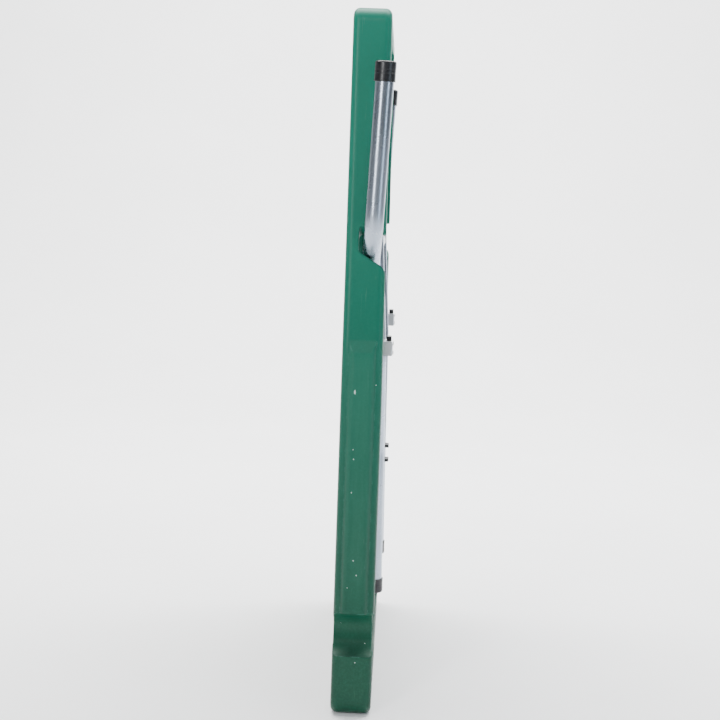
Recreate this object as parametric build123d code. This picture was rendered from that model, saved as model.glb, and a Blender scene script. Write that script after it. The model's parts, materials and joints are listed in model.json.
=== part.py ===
from build123d import *
import math
import os

# Compact ping pong table with a moulded deck and crossed folding legs, folded and
# standing on one short end. All sizes in millimetres.
#
# Frame: X runs through the deck's thickness, with the playing face at the lowest X and
# the folded legs on the +X side. Y runs across the width and Z up along the length.
# The origin is the middle of the end face that the folded table stands on.
# "left" is the +Y side and "right" the -Y side.

# ---- Deck ----
DECK_LENGTH = 1370.0
PLAYING_WIDTH = 724.0          # across the deck above the waist
WAIST_FLARE = 10.0             # how much wider each side is below the waist
WAIST_LENGTH = 165.0           # height over which the sides flare
WAIST_BELOW_SLOT = 35.0        # between the waist and the height where a leg leaves the deck
DECK_DEPTH = 80.0
RIM_TAPER = 7.0                # how much shallower the rim gets towards the upper end
TAPER_START = 600.0            # height where it starts to get shallower
SKIN = 6.0                     # thickness of the playing panel
SIDE_WALL = 18.0
END_WALL = 24.0
CORNER_RADIUS = 28.0           # the four corners of the outline
EDGE_RADIUS = 13.0             # rounding all along the outline
LIP_RADIUS = 3.0               # rounding of the recess's mouth
RECESS_CORNER = 12.0

# ---- Ribs on the back of the panel ----
RIB_HEIGHT = 9.0
RIB_THICKNESS = 5.0
CROSS_RIBS = 9
PLINTH_EDGE_Y = 3.0            # how far a mounting plinth shows round what stands on it
PLINTH_EDGE_Z = 4.0

# ---- Raised pads along the lower sides ----
PAD_PROUD = 8.0
PAD_FOOT = 7.0                 # how much wider each side of the pad is at the wall
PAD_BELOW_WAIST = 9.0
PAD_SLOPE = 26.0
PAD_SINK = 2.0                 # how far the slope runs in under the wall's face
PAD_ROUND = 9.0

# ---- Hand notches ----
NOTCH_RADIUS = 44.0
NOTCH_HEIGHT = 165.0
NOTCH_OFFSET = 8.0             # how far outside the side wall the notch's centre lies
NOTCH_WALL = 14.0
NOTCH_CLEARANCE = 2.5          # between a hinge bracket and the wall round a notch

# ---- Leg openings in the side walls ----
SLOT_SLOPE = 0.636             # fall of the lower side towards the mouth, per millimetre
SLOT_LOW_GAP = 6.0             # between the leg and the slot's lower side
SLOT_TOP_GAP = 7.0
SLOT_END_GAP = 8.7
SLOT_ROUND = 7.0
SLOT_OVERRUN = 12.0            # how far the cut runs past both faces of the wall

# ---- Fold geometry ----
PIVOT_Z = 190.0                # height of the outer legs' hinge line
PIVOT_CLEARANCE = 4.5          # between an outer leg and the ribs below it
ROLLER_FROM_TOP = 118.0        # the folded legs' rollers below the upper end
ROLLER_TRAVEL = 284.0
LEG_GAP = 11.5                 # between an outer and an inner leg, along Y

# ---- Outer legs: rises are along X from the hinge line ----
OUTER_TUBE = 35.0
OUTER_WALL = 2.0
OUTER_TAIL = 12.0              # tube below the hinge line
JOGGLE_ABOVE = 130.0           # between the crossing and the step through the side wall
JOGGLE_START_RISE = 8.5
JOGGLE_END_RISE = 16.0
OUTER_STANDOFF = 8.5           # between the side wall and the leg where the step ends
OUTER_SPLAY = 18.0             # how much further out the foot is
OUTER_END_RISE = 28.0
OUTER_END_FROM_TOP = 106.0
BEND_RADIUS = 76.0
OUTER_CAP_WALL = 2.5
OUTER_CAP_LENGTH = 38.0
CAP_BASE = 3.0
CAP_ROUND = 3.0
CAP_GROOVES = (0.45, 0.62)     # places of the two grip grooves along a cap
GROOVE_RADIUS = 1.0
GROOVE_LIFT = 0.3              # the groove's centre above the cap's surface

# ---- Inner legs ----
INNER_TUBE = 30.0
INNER_WALL = 2.0
INNER_TAIL = 14.0              # tube beyond the roller axle
SLANT_BELOW = 30.0             # between the crossing and the slanted stretch
SLANT_HEIGHT = 197.0
SLANT_END_RISE = 35.3
INNER_STEP = 89.0              # how much nearer the middle the feet are
INNER_END_RISE = 40.0
INNER_END_Z = 189.5
INNER_CAP_WALL = 2.0
INNER_CAP_LENGTH = 30.0

# ---- End plugs ----
PLUG_RIM = 2.0
PLUG_RIM_ROUND = 1.0
PLUG_DEPTH = 26.0
PLUG_GAP = 0.05

# ---- Cross tubes ----
PIVOT_TUBE = 25.0
PIVOT_TUBE_ABOVE = 50.0        # above the hinge line
BRACE_TUBE = 22.0
BRACE_TUBE_BELOW = 96.0        # below the crossing
BRACE_TUBE_SINK = 6.5          # nearer the panel than the legs that it joins
TOP_TUBE = 25.0
TOP_TUBE_BELOW = 30.0          # below the rails
FOOT_TUBE = 22.0
FOOT_TUBE_BELOW = 39.0         # below the slanted stretch
CROSS_WALL = 1.5

# ---- Hinge brackets ----
BRACKET_SHEET = 3.0
BRACKET_GAP = 1.0              # between a cheek and the tube
BRACKET_HEIGHT = 76.0
BRACKET_FLANGE = 15.0
BRACKET_WINDOW = 60.0
BRACKET_CORNER = 5.0
BRACKET_EYE = 12.0
BRACKET_BASE = 2.5
PIVOT_BOLT = 8.0
PIVOT_HEAD = 14.0
PIVOT_NUT = 13.0
PIVOT_NUT_HEIGHT = 6.0
PIVOT_THREAD = 8.0             # bolt beyond the inner cheek
HEAD_HEIGHT = 4.0
RUNNING_GAP = 0.05             # radial, bolts and axles in their holes

# ---- Crossing hardware ----
BLOCK_HEIGHT = 28.0
BLOCK_RISE = 29.0              # the block's outer face above the bolt
BLOCK_WASHER = 2.0
BLOCK_WASHER_SIZE = 20.0
WASHER_GAP = 0.3               # between the washer and the inner leg
BLOCK_SIDE = 1.5               # the block's side beyond the outer leg
BLOCK_ROUND = 3.0
BLOCK_SADDLE = 9.0             # how far the block reaches down round the outer tube
CROSSING_BOLT = 10.0
CROSSING_HEAD = 17.0
CROSSING_NUT_HEIGHT = 8.0
CROSSING_THREAD = 11.0         # bolt beyond the inner leg
BOLT_OVER_LEG = 1.672          # between the crossing bolt and the outer leg that it passes over
CROSSING_NUT_GAP = 1.0
BUMPER_SIZE = (10.0, 22.0, 9.0)
BUMPER_SHIFT = 4.0             # the bumper's middle nearer the table's than the outer leg's
BUMPER_ROUND = 2.0
RIVET = 5.0
RIVET_HEAD = 8.0
RIVET_HEAD_HEIGHT = 1.5

# ---- Slide rails, rollers ----
RAIL_LOW_ROOM = 17.0           # rail beyond the roller's two end places
RAIL_TOP_ROOM = 20.0
RAIL_SHEET = 2.5
RAIL_DEPTH = 26.0
RAIL_LEG_GAP = 3.0
RAIL_FLANGE = 22.0
ROLLER = 20.0
ROLLER_WIDTH = 16.0
ROLLER_EDGE = 1.2
ROLLER_SIDE_GAP = 0.5          # between the rail's web and the roller
ROLLER_GAP = 0.3               # between the roller and each of the rail's flanges
ROLLER_AXLE = 8.0
AXLE_HEAD = 13.0
AXLE_RECESS = 4.0              # counterbore that keeps the axle's inner end in the roller
AXLE_CLIP_GAP = 0.4            # between the clip and the counterbore's side
STOP_GAP = 0.5
STOP_PROUD = 2.0               # how far a stop stands out of the rail's end
STOP_LIP = 1.5                 # how far it stands out of the rail's mouth

# ---- Cradle that the folded legs nest in ----
CRADLE_WIDTH = 26.0
CRADLE_PRONG = 6.0
CRADLE_GAP = 1.6
CRADLE_REACH = 23.0            # the prongs beyond the middle of the foot tube
CRADLE_FOOT = 66.0
CRADLE_FOOT_HEIGHT = 5.0
CRADLE_CORNER = 6.0
CRADLE_ROUND = 2.5

# ---- Screws ----
SCREW = 4.0
SCREW_HEAD = 8.5
SCREW_HEAD_HEIGHT = 2.4
SCREW_DEPTH = 6.0
SCREW_TIP_GAP = 0.5
CROSS_SLOT = 4.4
CROSS_SLOT_WIDTH = 1.0
CROSS_SLOT_DEPTH = 1.2
RAIL_SCREW_SHARES = (0.06, 0.35, 0.65, 0.94)
CRADLE_SCREW_EDGE = 7.0

SAME = 1e-3                    # two places nearer than this are the same
CUT = 1.0                      # how far a cutting solid runs past a face
ROOT = 1.0                     # how far fused pieces run into each other

# ---- Derived places ----
FACE_X = -DECK_DEPTH / 2
MOUTH_X = DECK_DEPTH / 2
PANEL_X = FACE_X + SKIN
RIB_X = PANEL_X + RIB_HEIGHT
WALL_HIGH_Y = PLAYING_WIDTH / 2
WALL_LOW_Y = WALL_HIGH_Y + WAIST_FLARE
NOTCH_Y = WALL_LOW_Y + NOTCH_OFFSET
BRACKET_NEAR = OUTER_TUBE / 2 + BRACKET_GAP
BRACKET_HALF = BRACKET_NEAR + BRACKET_SHEET + BRACKET_FLANGE
OUTER_Y = NOTCH_Y - NOTCH_RADIUS - NOTCH_WALL - NOTCH_CLEARANCE - BRACKET_HALF
INNER_Y = OUTER_Y - OUTER_TUBE / 2 - LEG_GAP - INNER_TUBE / 2
PIVOT_X = RIB_X + OUTER_TUBE / 2 + PIVOT_CLEARANCE
ROLLER_Z = DECK_LENGTH - ROLLER_FROM_TOP
CROSSING_Z = (ROLLER_Z + PIVOT_Z) / 2
JOGGLE_START_Z = CROSSING_Z + JOGGLE_ABOVE
OUTER_SLOPE = JOGGLE_START_RISE / (JOGGLE_START_Z - PIVOT_Z)
CROSSING_RISE = (OUTER_SLOPE * (CROSSING_Z - PIVOT_Z) + OUTER_TUBE / 2 + BOLT_OVER_LEG
                 + CROSSING_BOLT / 2)
CROSSING_X = PIVOT_X + CROSSING_RISE
JOGGLE_OUT = WALL_HIGH_Y + OUTER_STANDOFF + OUTER_TUBE / 2 - OUTER_Y
LEG_AT_WALL_Z = JOGGLE_START_Z + WALL_HIGH_Y - OUTER_Y
LEG_AT_WALL_X = PIVOT_X + JOGGLE_START_RISE + (JOGGLE_END_RISE - JOGGLE_START_RISE) * (
    WALL_HIGH_Y - OUTER_Y) / JOGGLE_OUT
WAIST_HIGH = LEG_AT_WALL_Z - WAIST_BELOW_SLOT
WAIST_LOW = WAIST_HIGH - WAIST_LENGTH
PAD_TOP = WAIST_LOW - PAD_BELOW_WAIST
PAD_HALF_DEPTH = MOUTH_X - EDGE_RADIUS - PAD_FOOT
SLANT_START_Z = CROSSING_Z - SLANT_BELOW
SLANT_END_Z = SLANT_START_Z - SLANT_HEIGHT
SLANT_END_X = PIVOT_X + SLANT_END_RISE
FOOT_Y = INNER_Y - INNER_STEP
FOOT_TUBE_Z = SLANT_END_Z - FOOT_TUBE_BELOW
RAIL_TOP = ROLLER_Z + ROLLER / 2 + RAIL_TOP_ROOM
RAIL_LOW = ROLLER_Z - ROLLER_TRAVEL - ROLLER / 2 - RAIL_LOW_ROOM
RAIL_MOUTH_Y = INNER_Y - INNER_TUBE / 2 - RAIL_LEG_GAP
RAIL_WEB_Y = RAIL_MOUTH_Y - RAIL_DEPTH
ROLLER_Y = RAIL_WEB_Y + RAIL_SHEET + ROLLER_SIDE_GAP
PIVOT_TUBE_Z = PIVOT_Z + PIVOT_TUBE_ABOVE
BRACE_TUBE_Z = CROSSING_Z - BRACE_TUBE_BELOW
TOP_TUBE_Z = RAIL_LOW - TOP_TUBE_BELOW
BLOCK_TOP_X = CROSSING_X + BLOCK_RISE
BLOCK_IN_Y = INNER_Y + INNER_TUBE / 2 + BLOCK_WASHER
BLOCK_OUT_Y = OUTER_Y + OUTER_TUBE / 2 + BLOCK_SIDE
INNER_SLOPE = CROSSING_RISE / (CROSSING_Z - PIVOT_Z)
SIDES = {"left": 1.0, "right": -1.0}


def outer_x(z):
    """X of the outer leg's centre line below the joggle."""
    return PIVOT_X + OUTER_SLOPE * (z - PIVOT_Z)


def inner_x(z):
    """X of the inner leg's centre line above the crossing."""
    return CROSSING_X - INNER_SLOPE * (z - CROSSING_Z)


def foot_x(z):
    """X of the inner leg's centre line along its straight foot."""
    share = (z - INNER_END_Z) / (SLANT_END_Z - INNER_END_Z)
    return PIVOT_X + INNER_END_RISE + share * (SLANT_END_RISE - INNER_END_RISE)


def block(low, high):
    """Box between two opposite corners."""
    size = [b - a for a, b in zip(low, high)]
    return Pos(*low) * Box(*size, align=(Align.MIN, Align.MIN, Align.MIN))


def rod(start, end, radius):
    """Solid cylinder between two points."""
    run = Vector(*end) - Vector(*start)
    plane = Plane(origin=start, z_dir=run)
    return plane * Cylinder(radius, run.length, align=(Align.CENTER, Align.CENTER, Align.MIN))


def bar_y(x, z, y_from, y_to, radius):
    """Solid cylinder along Y."""
    return rod((x, min(y_from, y_to), z), (x, max(y_from, y_to), z), radius)


def tube_y(x, z, y_from, y_to, diameter, wall):
    """Tube along Y."""
    return bar_y(x, z, y_from, y_to, diameter / 2) - bar_y(x, z, y_from, y_to, diameter / 2 - wall)


def swept(points, radius):
    """Round bar along straight runs that are joined by arcs of the bend radius."""
    path = FilletPolyline(*points, radius=BEND_RADIUS)
    section = Plane(origin=path @ 0, z_dir=path % 0) * Circle(radius)
    return sweep(section, path=path)


def panel(outline, x_from, x_to):
    """Solid with an outline in Y and Z and flat faces square to X."""
    plane = Plane(origin=(x_from, 0, 0), x_dir=(0, 1, 0), z_dir=(1, 0, 0))
    return extrude(plane * make_face(Polyline(*outline, close=True)), x_to - x_from)


def deck_outline(inset_side, inset_end):
    """Outline of the deck, moved inwards by the two insets."""
    low = WALL_LOW_Y - inset_side
    high = WALL_HIGH_Y - inset_side
    bottom = inset_end
    top = DECK_LENGTH - inset_end
    right_side = [(low, bottom), (low, WAIST_LOW), (high, WAIST_HIGH), (high, top)]
    left_side = [(-y, z) for y, z in reversed(right_side)]
    return right_side + left_side


def mouth_x(z):
    """X of the rim's free edge at a height."""
    share = max(0.0, (z - TAPER_START) / (DECK_LENGTH - TAPER_START))
    return MOUTH_X - share * RIM_TAPER


def edges_at(shape, x_of_z):
    """Edges that lie wholly at the X that a function gives, without the taper's crease."""
    found = []
    for edge in shape.edges():
        points = [edge @ share for share in (0.0, 0.5, 1.0)]
        crease = all(abs(p.Z - TAPER_START) < SAME for p in points)
        if not crease and all(abs(p.X - x_of_z(p.Z)) < SAME for p in points):
            found.append(edge)
    return found


def corner_edges(shape, z_places):
    """Edges along X at the given heights."""
    return [e for e in shape.edges().filter_by(Axis.X)
            if any(abs(e.center().Z - z) < 1.0 for z in z_places)]


def recess():
    """The hollow behind the playing panel."""
    hollow = panel(deck_outline(SIDE_WALL, END_WALL), PANEL_X, MOUTH_X + SIDE_WALL)
    return fillet(corner_edges(hollow, (END_WALL, DECK_LENGTH - END_WALL)), RECESS_CORNER)


def deck_shell(hollow):
    """Rounded block with the recess cut out of its back."""
    body = panel(deck_outline(0, 0), FACE_X, MOUTH_X)
    body = fillet(corner_edges(body, (0, DECK_LENGTH)), CORNER_RADIUS)
    taper = Polyline((FACE_X, 0, 0), (MOUTH_X, 0, 0), (MOUTH_X, 0, TAPER_START),
                     (mouth_x(DECK_LENGTH), 0, DECK_LENGTH), (FACE_X, 0, DECK_LENGTH), close=True)
    body = body & extrude(make_face(taper), amount=2 * WALL_LOW_Y, both=True)
    body = fillet(edges_at(body, lambda z: FACE_X) + edges_at(body, mouth_x), EDGE_RADIUS)
    body = body - hollow
    lip = [e for e in edges_at(body, mouth_x)
           if abs(e.center().Y) < WALL_LOW_Y - EDGE_RADIUS - CUT
           and END_WALL - CUT < e.center().Z < DECK_LENGTH - END_WALL + CUT]
    return fillet(lip, LIP_RADIUS)


def side_pad(side):
    """Raised pad on a side wall, with a sloped upper end and rounded long edges."""
    root = WALL_HIGH_Y - SIDE_WALL / 2
    proud = WALL_LOW_Y + PAD_PROUD
    wide = PAD_HALF_DEPTH + PAD_FOOT
    low = NOTCH_HEIGHT + NOTCH_RADIUS
    slope_top = PAD_TOP + PAD_SLOPE
    side_view = panel([(root, low), (proud, low), (proud, PAD_TOP), (WALL_LOW_Y - PAD_SINK, slope_top),
                       (root, slope_top)], -wide, wide)
    end_view = Polyline((-wide, root, low), (-wide, WALL_LOW_Y, low), (-PAD_HALF_DEPTH, proud, low),
                        (PAD_HALF_DEPTH, proud, low), (wide, WALL_LOW_Y, low), (wide, root, low), close=True)
    pad = side_view & extrude(make_face(end_view), amount=slope_top, dir=(0, 0, 1))
    long_edges = [e for e in pad.edges().filter_by(Axis.Z) if abs(e.center().Y - proud) < SAME]
    pad = fillet(long_edges, PAD_ROUND)
    return mirrored(pad, side)


def notch_boss(side):
    """Thick wall round a hand notch, inside the recess."""
    boss = rod((PANEL_X - ROOT, NOTCH_Y, NOTCH_HEIGHT), (MOUTH_X - LIP_RADIUS, NOTCH_Y, NOTCH_HEIGHT),
               NOTCH_RADIUS + NOTCH_WALL)
    keep = block((FACE_X, 0, 0), (MOUTH_X, WALL_LOW_Y - SIDE_WALL + ROOT, 2 * NOTCH_HEIGHT))
    return mirrored(boss & keep, side)


def leg_slot(side):
    """Flared opening through a side wall, slanting with the leg that passes through it."""
    radius = OUTER_TUBE / 2
    end_x = LEG_AT_WALL_X - radius - SLOT_END_GAP
    mouth = MOUTH_X + SIDE_WALL
    steep = math.sqrt(2)
    below = math.hypot(SLOT_SLOPE * radius, steep * radius) + SLOT_LOW_GAP
    low_z = [LEG_AT_WALL_Z - below - SLOT_SLOPE * (x - LEG_AT_WALL_X) for x in (end_x, mouth)]
    top_z = LEG_AT_WALL_Z + steep * radius + SLOT_TOP_GAP
    reach = SIDE_WALL + 2 * SLOT_OVERRUN
    start = -SIDE_WALL - SLOT_OVERRUN
    profile = Polyline((end_x, 0, low_z[0]), (mouth, 0, low_z[1]), (mouth, 0, top_z), (end_x, 0, top_z),
                       close=True)
    face = Pos(0, WALL_HIGH_Y + start, start) * make_face(profile)
    cut = extrude(face, amount=reach * steep, dir=(0, 1 / steep, 1 / steep))
    inner = [e for e in cut.edges() if abs(e.center().X - end_x) < SAME
             and abs(e.bounding_box().size.Y - reach) < CUT]
    return mirrored(fillet(inner, SLOT_ROUND), side)


def rib_lattice(hollow):
    """Ribs and mounting plinths on the back of the panel, as a list."""
    low, high = END_WALL, DECK_LENGTH - END_WALL
    step = (high - low) / (CROSS_RIBS + 1)
    ribs = []
    for i in range(CROSS_RIBS):
        z = low + step * (i + 1)
        ribs.append(block((PANEL_X - ROOT, -WALL_LOW_Y, z - RIB_THICKNESS / 2),
                          (RIB_X, WALL_LOW_Y, z + RIB_THICKNESS / 2)))
    for y in (-INNER_Y, -INNER_Y / 2, 0.0, INNER_Y / 2, INNER_Y):
        ribs.append(block((PANEL_X - ROOT, y - RIB_THICKNESS / 2, 0),
                          (RIB_X, y + RIB_THICKNESS / 2, DECK_LENGTH)))
    ribs = [rib & hollow_with_root(hollow) for rib in ribs]
    plinths = []
    bracket_z = BRACKET_HEIGHT / 2
    for side in SIDES.values():
        for near, far, bottom, top in (
                (RAIL_WEB_Y - RAIL_FLANGE, RAIL_MOUTH_Y, RAIL_LOW, RAIL_TOP),
                (OUTER_Y - BRACKET_HALF, OUTER_Y + BRACKET_HALF, PIVOT_Z - bracket_z, PIVOT_Z + bracket_z)):
            y_low, y_high = sorted((side * (near - PLINTH_EDGE_Y), side * (far + PLINTH_EDGE_Y)))
            plinths.append(block((PANEL_X - ROOT, y_low, bottom - PLINTH_EDGE_Z),
                                 (RIB_X, y_high, top + PLINTH_EDGE_Z)))
    half_y, half_z = CRADLE_WIDTH / 2 + PLINTH_EDGE_Y, CRADLE_FOOT / 2 + PLINTH_EDGE_Z
    plinths.append(block((PANEL_X - ROOT, -half_y, FOOT_TUBE_Z - half_z),
                         (RIB_X, half_y, FOOT_TUBE_Z + half_z)))
    return ribs + plinths


def hollow_with_root(hollow):
    """The recess, grown a little into the panel so that ribs fuse with it."""
    return hollow + Pos(-ROOT, 0, 0) * hollow


def screw_places():
    """Y, Z and seat X of every screw, by the piece that it fastens."""
    rails, brackets, cradle = [], [], []
    for side in SIDES.values():
        for share in RAIL_SCREW_SHARES:
            y = side * (RAIL_WEB_Y - RAIL_FLANGE / 2)
            rails.append((y, RAIL_LOW + share * (RAIL_TOP - RAIL_LOW), RIB_X + RAIL_SHEET))
        for across in (-1, 1):
            for up in (-1, 1):
                y = side * (OUTER_Y + across * (BRACKET_HALF - BRACKET_FLANGE / 2))
                brackets.append((y, PIVOT_Z + up * BRACKET_HEIGHT / 3, RIB_X + BRACKET_BASE))
    for up in (-1, 1):
        z = FOOT_TUBE_Z + up * (CRADLE_FOOT / 2 - CRADLE_SCREW_EDGE)
        cradle.append((0.0, z, RIB_X + CRADLE_FOOT_HEIGHT))
    return {"rail_screws": rails, "bracket_screws": brackets, "cradle_screws": cradle}


def table_top():
    """Moulded deck: panel, rim, ribs, pads, notches, leg openings and pilot holes."""
    hollow = recess()
    deck = deck_shell(hollow)
    deck = deck.fuse(*rib_lattice(hollow), *[notch_boss(s) for s in SIDES.values()],
                     *[side_pad(s) for s in SIDES.values()])
    for side in SIDES.values():
        deck = deck - rod((FACE_X - CUT, side * NOTCH_Y, NOTCH_HEIGHT),
                          (MOUTH_X + CUT, side * NOTCH_Y, NOTCH_HEIGHT), NOTCH_RADIUS)
        deck = deck - leg_slot(side)
    pilots = []
    for places in screw_places().values():
        for y, z, seat in places:
            pilots.append(rod((RIB_X - SCREW_DEPTH, y, z), (RIB_X + CUT, y, z), SCREW / 2 + RUNNING_GAP))
    return deck - pilots


def screws(places):
    """Pan-head screws along X, one solid each."""
    made = []
    for y, z, seat in places:
        top = seat + SCREW_HEAD_HEIGHT
        shank = rod((RIB_X - SCREW_DEPTH + SCREW_TIP_GAP, y, z), (seat, y, z), SCREW / 2)
        head = rod((seat, y, z), (top, y, z), SCREW_HEAD / 2)
        head = fillet(head.edges().group_by(Axis.X)[-1], SCREW_HEAD_HEIGHT * 0.6)
        long, wide = CROSS_SLOT / 2, CROSS_SLOT_WIDTH / 2
        cross = [block((top - CROSS_SLOT_DEPTH, y - dy, z - dz), (top + CUT, y + dy, z + dz))
                 for dy, dz in ((long, wide), (wide, long))]
        made.append(shank + head - cross)
    return Compound(children=made)


def with_screw_holes(shape, places):
    """Cuts the clearance holes that the screws pass through."""
    holes = [rod((RIB_X - CUT, y, z), (seat + CUT, y, z), SCREW / 2 + RUNNING_GAP) for y, z, seat in places]
    return shape - holes


def outer_points():
    """Corner points of the left outer leg's centre line, hinge end first."""
    tail = PIVOT_Z - OUTER_TAIL
    joggle_y = OUTER_Y + JOGGLE_OUT
    return [(outer_x(tail), OUTER_Y, tail), (PIVOT_X + JOGGLE_START_RISE, OUTER_Y, JOGGLE_START_Z),
            (PIVOT_X + JOGGLE_END_RISE, joggle_y, JOGGLE_START_Z + JOGGLE_OUT),
            (PIVOT_X + OUTER_END_RISE, joggle_y + OUTER_SPLAY, DECK_LENGTH - OUTER_END_FROM_TOP)]


def inner_points():
    """Corner points of the left inner leg's centre line, roller end first."""
    tail = ROLLER_Z + INNER_TAIL
    return [(inner_x(tail), INNER_Y, tail), (inner_x(SLANT_START_Z), INNER_Y, SLANT_START_Z),
            (SLANT_END_X, FOOT_Y, SLANT_END_Z), (PIVOT_X + INNER_END_RISE, FOOT_Y, INNER_END_Z)]


def outer_leg():
    """Left outer leg: bent tube with holes for its hinge bolt."""
    tube = swept(outer_points(), OUTER_TUBE / 2) - swept(outer_points(), OUTER_TUBE / 2 - OUTER_WALL)
    hole = bar_y(PIVOT_X, PIVOT_Z, OUTER_Y - OUTER_TUBE, OUTER_Y + OUTER_TUBE, PIVOT_BOLT / 2 + RUNNING_GAP)
    return tube - hole


def inner_leg():
    """Left inner leg: bent tube with holes for the crossing bolt and the roller axle."""
    tube = swept(inner_points(), INNER_TUBE / 2) - swept(inner_points(), INNER_TUBE / 2 - INNER_WALL)
    low, high = INNER_Y - INNER_TUBE, INNER_Y + INNER_TUBE
    crossing = bar_y(CROSSING_X, CROSSING_Z, low, high, CROSSING_BOLT / 2 + RUNNING_GAP)
    axle = bar_y(PIVOT_X, ROLLER_Z, low, high, ROLLER_AXLE / 2)
    return tube - crossing - axle


def end_cap(points, tube, wall, length):
    """Closed cap over the last stretch of a tube, with a rounded end and two grip grooves."""
    end = Vector(*points[-1])
    run = (end - Vector(*points[-2])).normalized()
    plane = Plane(origin=end + run * CAP_BASE, z_dir=-run)
    radius = tube / 2 + wall
    cup = Cylinder(radius, length, align=(Align.CENTER, Align.CENTER, Align.MIN))
    cup = fillet(cup.edges().group_by(Axis.Z)[0], CAP_ROUND)
    bore = Pos(0, 0, CAP_BASE) * Cylinder(tube / 2, length, align=(Align.CENTER, Align.CENTER, Align.MIN))
    cup = cup - bore
    for place in CAP_GROOVES:
        cup = cup - Pos(0, 0, place * length) * Torus(radius + GROOVE_LIFT, GROOVE_RADIUS)
    return plane * cup


def end_plug(start, next_point, tube, wall, hole):
    """Plug in a tube's open end, with a thin rim and a cross hole for the bolt."""
    first = Vector(*start)
    run = (Vector(*next_point) - first).normalized()
    plane = Plane(origin=first - run * PLUG_RIM, z_dir=run)
    low = (Align.CENTER, Align.CENTER, Align.MIN)
    rim = Cylinder(tube / 2, PLUG_RIM, align=low)
    rim = fillet(rim.edges().group_by(Axis.Z)[0], PLUG_RIM_ROUND)
    core = Cylinder(tube / 2 - wall - PLUG_GAP, PLUG_DEPTH + PLUG_RIM, align=low)
    return plane * (rim + core) - hole


def mirrored(shape, side):
    """The shape, or its twin on the other side."""
    return shape if side > 0 else mirror(shape, Plane.XZ)


def cross_tube(x, z, reach, diameter, cope):
    """Cross tube between two leg tubes, its ends cut to the tubes that it meets."""
    bar = tube_y(x, z, -reach, reach, diameter, CROSS_WALL)
    for side in SIDES.values():
        bar = bar - mirrored(cope, side)
    return max(bar.solids(), key=lambda s: s.volume)


def hinge_bracket():
    """Left hinge bracket: base plate with a window and two cheeks with eyes."""
    half_z, half_window = BRACKET_HEIGHT / 2, BRACKET_WINDOW / 2
    base = block((RIB_X, OUTER_Y - BRACKET_HALF, PIVOT_Z - half_z),
                 (RIB_X + BRACKET_BASE, OUTER_Y + BRACKET_HALF, PIVOT_Z + half_z))
    base = fillet(base.edges().filter_by(Axis.X), BRACKET_CORNER)
    window = block((RIB_X - CUT, OUTER_Y - BRACKET_NEAR, PIVOT_Z - half_window),
                   (RIB_X + BRACKET_BASE + CUT, OUTER_Y + BRACKET_NEAR, PIVOT_Z + half_window))
    made = base - window
    for across in (-1, 1):
        y_low, y_high = sorted((OUTER_Y + across * BRACKET_NEAR,
                                OUTER_Y + across * (BRACKET_NEAR + BRACKET_SHEET)))
        eye = bar_y(PIVOT_X, PIVOT_Z, y_low, y_high, BRACKET_EYE)
        cheek = Polyline((RIB_X, y_low, PIVOT_Z - half_window), (PIVOT_X, y_low, PIVOT_Z - BRACKET_EYE),
                         (PIVOT_X, y_low, PIVOT_Z + BRACKET_EYE), (RIB_X, y_low, PIVOT_Z + half_window),
                         close=True)
        made = made + eye + extrude(make_face(cheek), amount=BRACKET_SHEET, dir=(0, 1, 0))
    bore = bar_y(PIVOT_X, PIVOT_Z, OUTER_Y - BRACKET_HALF, OUTER_Y + BRACKET_HALF,
                 PIVOT_BOLT / 2 + RUNNING_GAP)
    return made - bore


def hex_nut(x, z, y_from, y_to, across, bore):
    """Nut on a bolt along Y, with its flats along Z."""
    low, high = sorted((y_from, y_to))
    plane = Plane(origin=(x, low, z), x_dir=(1, 0, 0), z_dir=(0, 1, 0))
    body = extrude(plane * RegularPolygon(across / 2, 6, major_radius=False), high - low)
    return body - bar_y(x, z, low - CUT, high + CUT, bore)


def bolt_y(x, z, y_tip, y_seat, diameter, head):
    """Bolt along Y with a domed head beyond its seat."""
    y_end = y_seat + math.copysign(HEAD_HEIGHT, y_seat - y_tip)
    cap = bar_y(x, z, y_seat, y_end, head / 2)
    outer = cap.edges().group_by(Axis.Y)[-1 if y_seat > y_tip else 0]
    cap = fillet(outer, HEAD_HEIGHT * 0.55)
    socket = bar_y(x, z, y_end, y_end - math.copysign(HEAD_HEIGHT * 0.5, y_seat - y_tip), head * 0.22)
    return bar_y(x, z, y_tip, y_seat, diameter / 2) + cap - socket


def crossing_block():
    """Left crossing block: a clamp block seated on the outer tube, drilled for the bolt."""
    seat = outer_x(CROSSING_Z)
    low_z, high_z = CROSSING_Z - BLOCK_HEIGHT / 2, CROSSING_Z + BLOCK_HEIGHT / 2
    low_x = seat + BLOCK_SADDLE - OUTER_TUBE / 4
    body = block((low_x, BLOCK_IN_Y, low_z), (BLOCK_TOP_X, BLOCK_OUT_Y, high_z))
    body = fillet(body.edges().group_by(Axis.X)[-1], BLOCK_ROUND)
    below, above = low_z - BLOCK_HEIGHT, high_z + BLOCK_HEIGHT
    saddle = rod((outer_x(below), OUTER_Y, below), (outer_x(above), OUTER_Y, above), OUTER_TUBE / 2)
    bore = bar_y(CROSSING_X, CROSSING_Z, BLOCK_IN_Y - CUT, BLOCK_OUT_Y + CUT, CROSSING_BOLT / 2 + RUNNING_GAP)
    made = body - saddle - bore
    for z in (low_z + RIVET, high_z - RIVET):
        made = made - rod((seat + OUTER_TUBE / 2 - CUT, OUTER_Y, z), (BLOCK_TOP_X + CUT, OUTER_Y, z),
                          RIVET / 2 + RUNNING_GAP)
    return max(made.solids(), key=lambda s: s.volume)


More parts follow.
